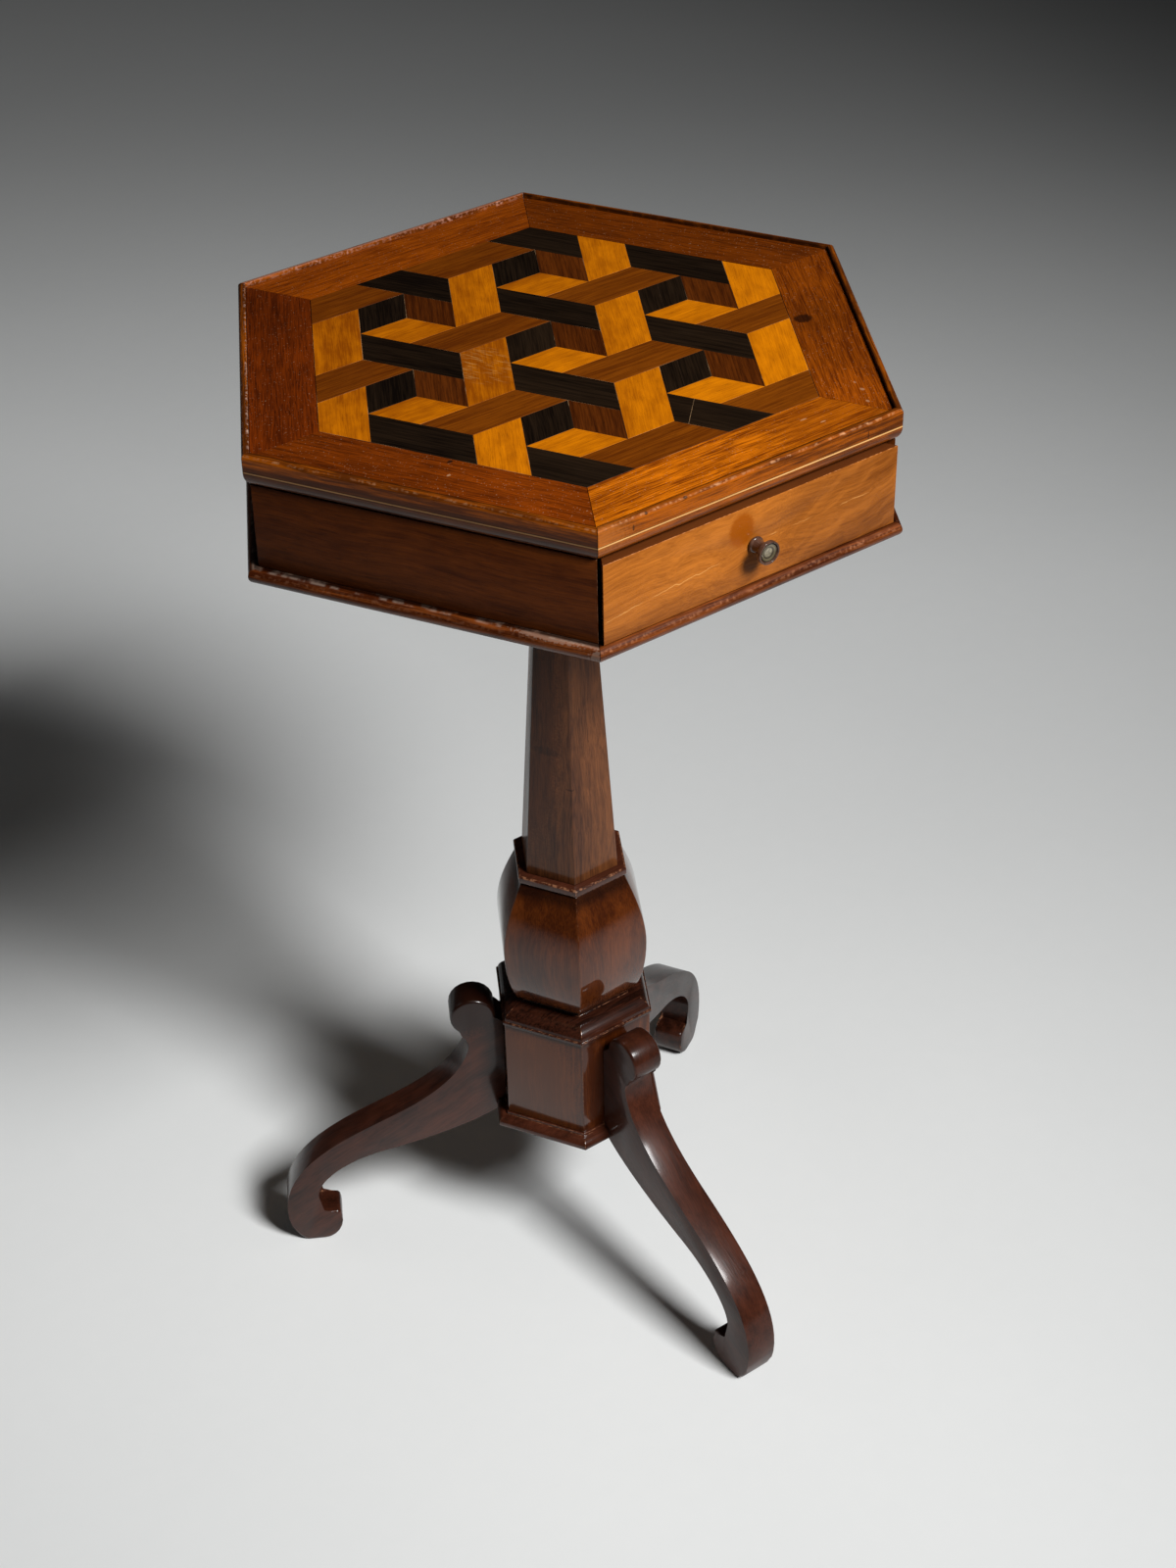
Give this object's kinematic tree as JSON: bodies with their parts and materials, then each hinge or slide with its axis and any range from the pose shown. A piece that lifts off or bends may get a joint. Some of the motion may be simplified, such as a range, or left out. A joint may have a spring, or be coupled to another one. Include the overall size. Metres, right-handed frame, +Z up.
{
  "type": "side table",
  "caption": "Hexagonal tripod side table with an interlaced-cube parquetry top, a frieze drawer, a baluster column and scroll legs.",
  "frame": {"origin": "middle of the footprint on the floor; the column's axis stands 13 mm behind it, towards +Y", "axes": "+Z up, -Y towards the drawer front, +X to the right of someone facing the drawer"},
  "size_m": [0.4386, 0.4054, 0.7196],
  "materials": {
    "mahogany": "dark French-polished mahogany",
    "edge_mahogany": "polished mahogany moulding, worn at its arrises",
    "border_mahogany": "orange-brown mahogany veneer, waxed",
    "walnut": "golden-brown walnut, waxed",
    "parquetry_woods": "satinwood, ebonised wood and brown veneers laid as interlaced cubes, waxed",
    "boxwood": "pale boxwood string",
    "pine": "bare pine, aged",
    "oak": "bare oak, aged",
    "rosewood": "turned dark hardwood, polished",
    "pearl": "polished mother-of-pearl disc"
  },
  "bodies": {
    "table": {"top_board": "pine", "top_edge_front": "edge_mahogany", "top_edge_front_right": "edge_mahogany", "top_edge_back_right": "edge_mahogany", "top_edge_back": "edge_mahogany", "top_edge_back_left": "edge_mahogany", "top_edge_front_left": "edge_mahogany", "string_front": "boxwood", "string_front_right": "boxwood", "string_back_right": "boxwood", "string_back": "boxwood", "string_back_left": "boxwood", "string_front_left": "boxwood", "border_front": "border_mahogany", "border_front_right": "border_mahogany", "border_back_right": "border_mahogany", "border_back": "border_mahogany", "border_back_left": "border_mahogany", "border_front_left": "border_mahogany", "parquetry_panel": "parquetry_woods", "frieze_panel_front_right": "mahogany", "frieze_panel_back_right": "mahogany", "frieze_panel_back": "mahogany", "frieze_panel_back_left": "mahogany", "frieze_panel_front_left": "mahogany", "base_moulding_front": "edge_mahogany", "base_moulding_front_right": "edge_mahogany", "base_moulding_back_right": "edge_mahogany", "base_moulding_back": "edge_mahogany", "base_moulding_back_left": "edge_mahogany", "base_moulding_front_left": "edge_mahogany", "box_floor": "pine", "glue_block_back_right": "pine", "glue_block_back": "pine", "glue_block_back_left": "pine", "glue_block_front_left": "pine", "drawer_guide_left": "oak", "drawer_guide_right": "oak", "drawer_kicker_left": "pine", "drawer_kicker_right": "pine", "drawer_stop_left": "oak", "drawer_stop_right": "oak", "column_bearer": "pine", "column_shaft": "mahogany", "collar": "mahogany", "baluster": "mahogany", "plinth_cap": "mahogany", "plinth_block": "mahogany", "plinth_base": "mahogany", "leg_front": "mahogany", "leg_back_right": "mahogany", "leg_back_left": "mahogany"},
    "drawer": {"drawer_front": "walnut", "drawer_side_left": "oak", "drawer_side_right": "oak", "drawer_back": "oak", "drawer_bottom": "pine", "knob": "rosewood", "knob_disc": "pearl"}
  },
  "joints": [
    {"name": "drawer_slide", "type": "slide", "parent": "table", "child": "drawer", "axis": [0, -1, 0], "range_m": [0, 0.22]}
  ]
}
